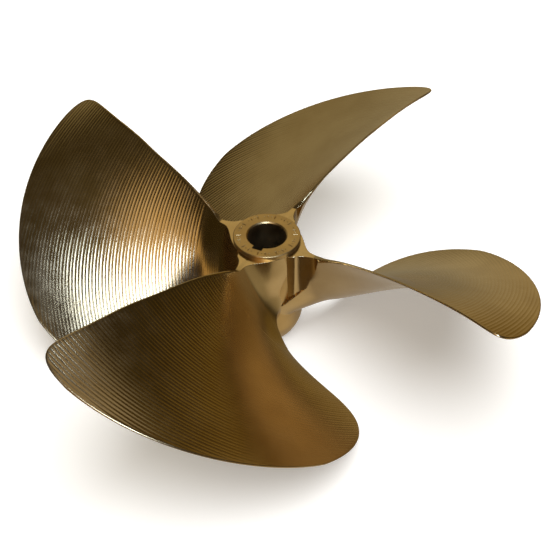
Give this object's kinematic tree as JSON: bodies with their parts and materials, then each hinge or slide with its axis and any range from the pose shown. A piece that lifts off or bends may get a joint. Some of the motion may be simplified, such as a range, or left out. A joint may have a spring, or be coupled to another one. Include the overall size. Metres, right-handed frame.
{
  "type": "boat propeller",
  "caption": "Left-hand inboard boat propeller: blades with progressive pitch on a hub with a tapered, keyed bore, machined all over from bronze.",
  "frame": {"origin": "on the shaft axis, in the plane of the hub's forward face, the large end of the bore", "axes": "+Z along the shaft axis, pointing aft, towards the nut and the small end of the bore; +X is the datum that the blade angles are counted from, and blade_1 lies about 80 degrees round from it"},
  "size_m": [0.318, 0.318, 0.1021],
  "materials": {
    "hub_bronze": "turned nickel aluminium bronze, satin",
    "blade_bronze": "milled nickel aluminium bronze with fine concentric tool marks, semi-gloss"
  },
  "bodies": {
    "root": {"hub": "hub_bronze", "blade_1": "blade_bronze", "blade_2": "blade_bronze", "blade_3": "blade_bronze", "blade_4": "blade_bronze"}
  },
  "joints": []
}
